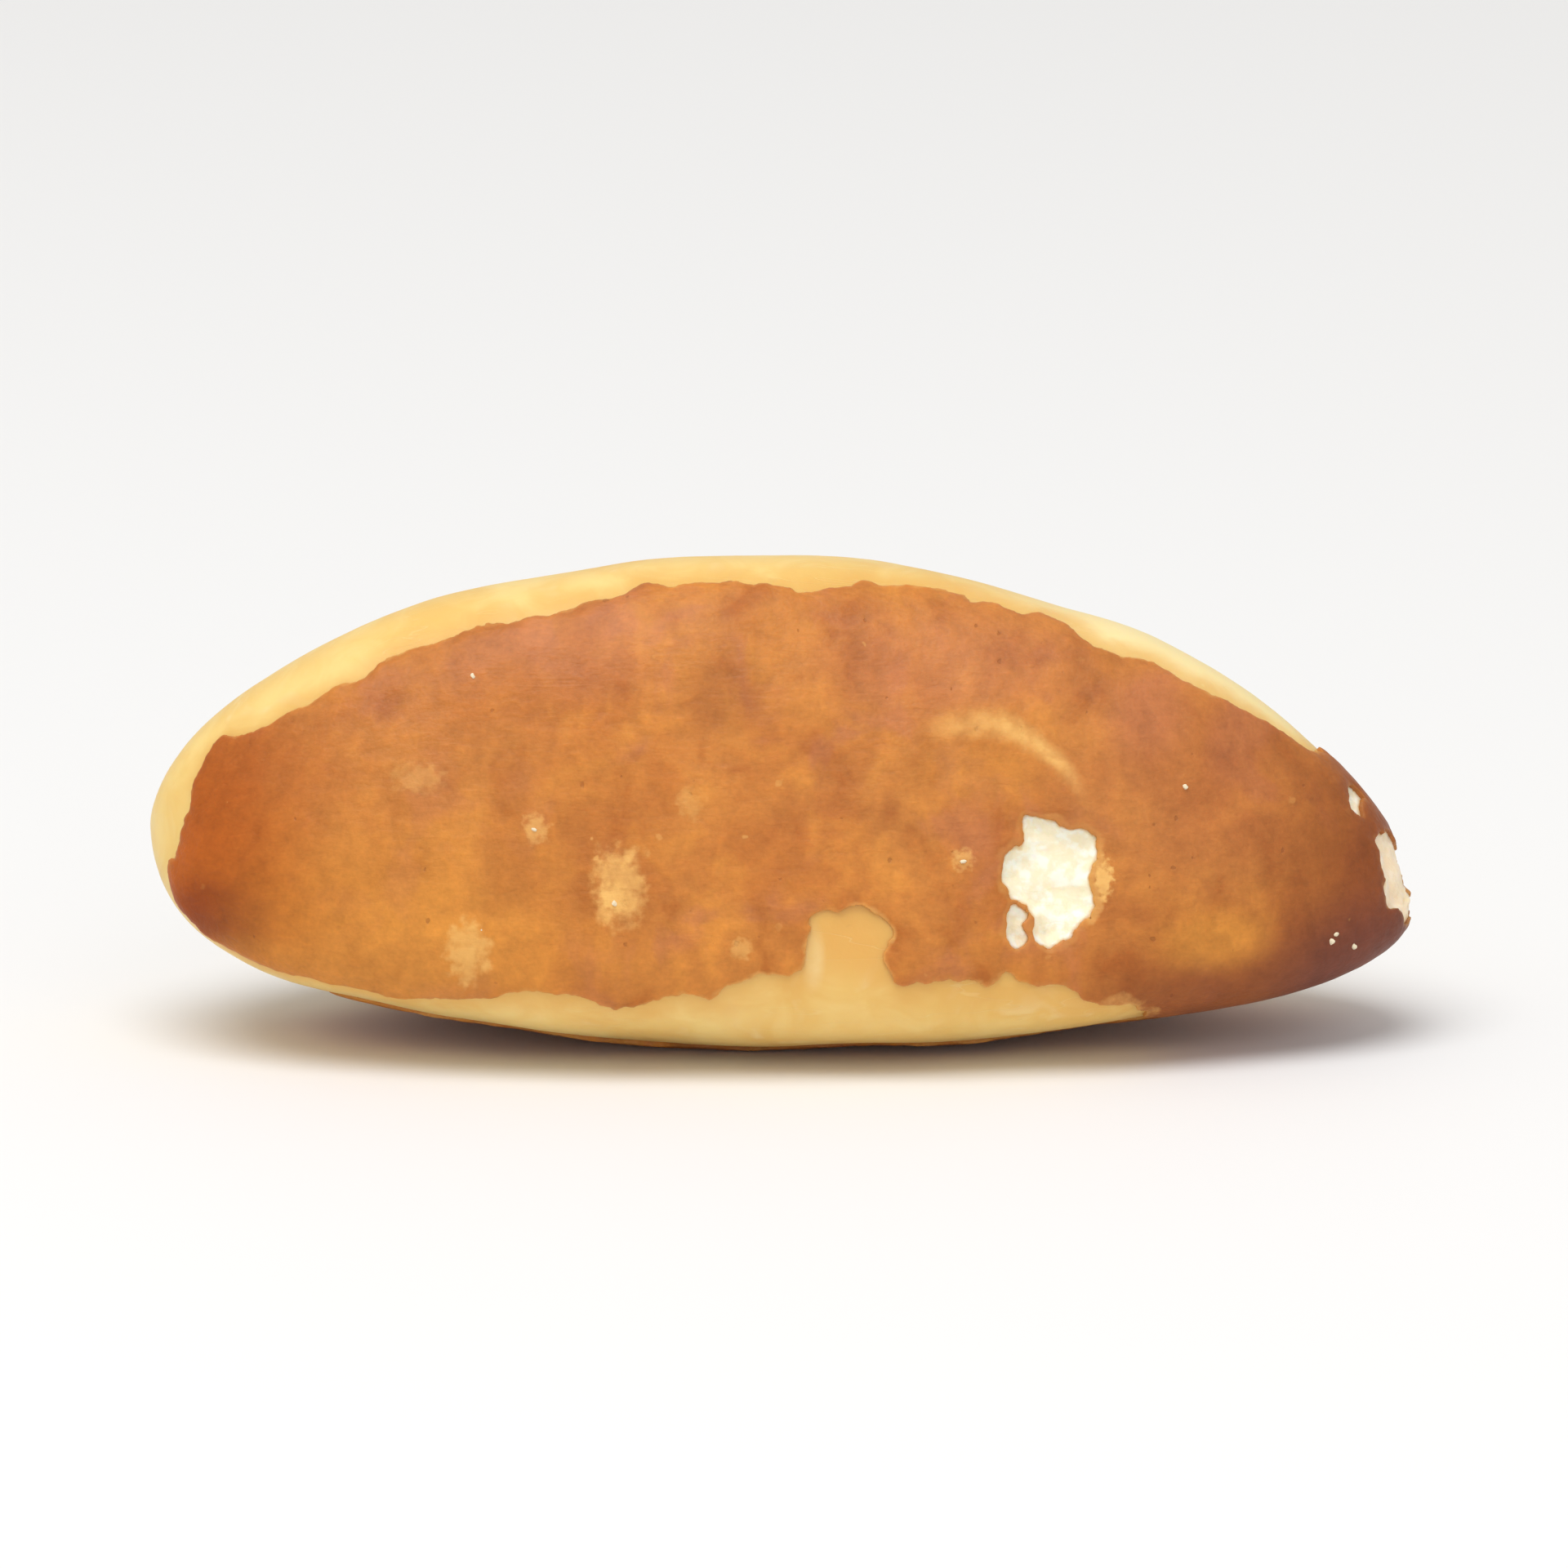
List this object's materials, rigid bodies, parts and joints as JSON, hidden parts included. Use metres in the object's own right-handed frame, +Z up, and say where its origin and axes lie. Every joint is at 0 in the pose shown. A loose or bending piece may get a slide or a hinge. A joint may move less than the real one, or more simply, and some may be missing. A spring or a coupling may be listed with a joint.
{
  "type": "brazil nut kernel",
  "caption": "Shelled brazil nut kernel, a long rounded wedge of cream flesh with brown skin left on its flatter sides, lying on a small flat spot.",
  "frame": {"origin": "bottom centre of the kernel's box, on the surface it lies on", "axes": "+X along the nut towards its pointed end, +Z up, -Y towards the broad skin covered side"},
  "size_m": [0.038, 0.0166, 0.0146],
  "materials": {
    "flesh": "waxy satin",
    "skin": "satin, mottled"
  },
  "bodies": {
    "root": {"kernel": "flesh"}
  },
  "joints": []
}
